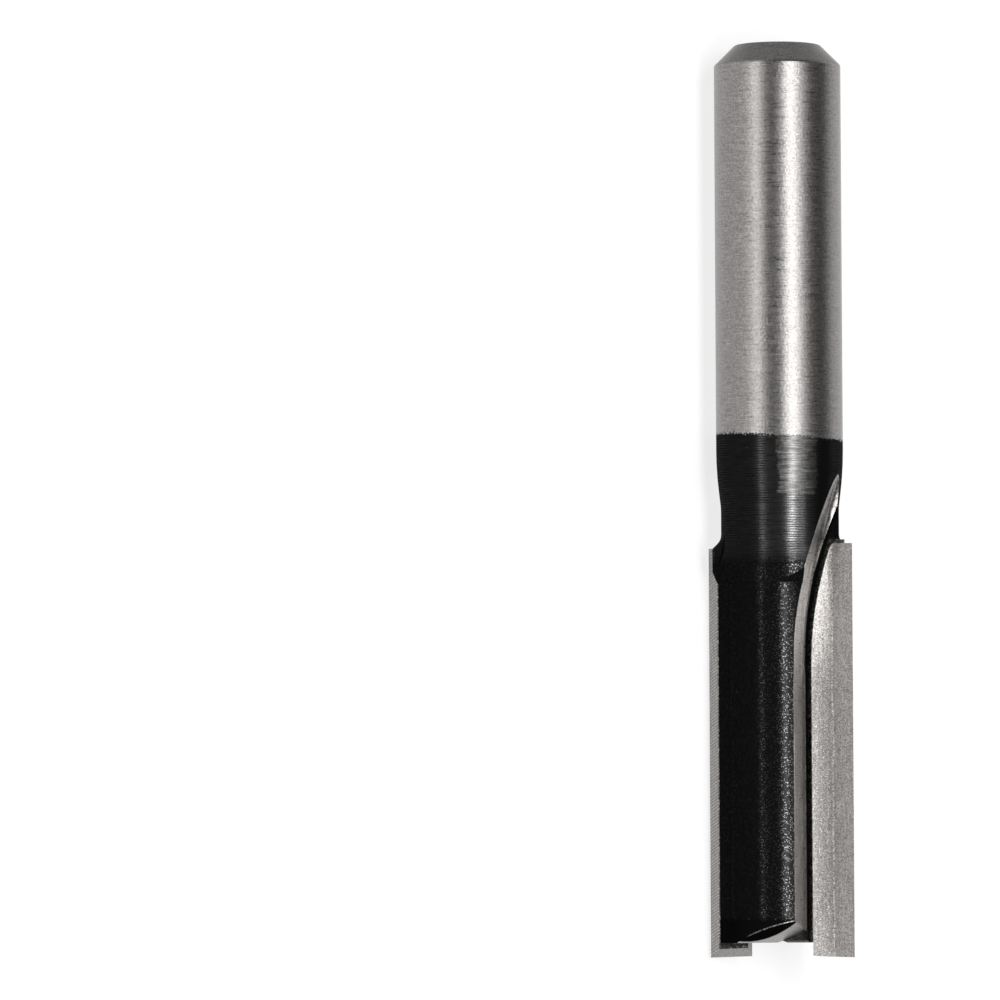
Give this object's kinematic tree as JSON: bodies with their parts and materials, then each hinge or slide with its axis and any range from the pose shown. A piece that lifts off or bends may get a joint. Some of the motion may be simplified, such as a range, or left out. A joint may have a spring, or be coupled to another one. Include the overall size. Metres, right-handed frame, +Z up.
{
  "type": "router bit",
  "caption": "Straight plunge router bit: round shank with a chamfered end, waisted neck and long carbide tips brazed on opposite sides of a fluted steel body.",
  "frame": {"origin": "on the bit's axis, where the cylindrical shank wall ends and the taper begins", "axes": "+Y along the axis towards the shank end, +Z up as the bit lies at rest, +X completes the right-handed frame"},
  "size_m": [0.0122, 0.0863, 0.012],
  "materials": {
    "tool_steel": "ground bare shank and flutes; black baked coating on the taper, neck and milled backs",
    "carbide": "satin ground tungsten carbide",
    "braze": "silver braze, darkened by flux and coating"
  },
  "bodies": {
    "root": {"body": "tool_steel", "carbide_tip_a": "carbide", "carbide_tip_b": "carbide", "braze_seam_a": "braze", "braze_seam_b": "braze"}
  },
  "joints": []
}
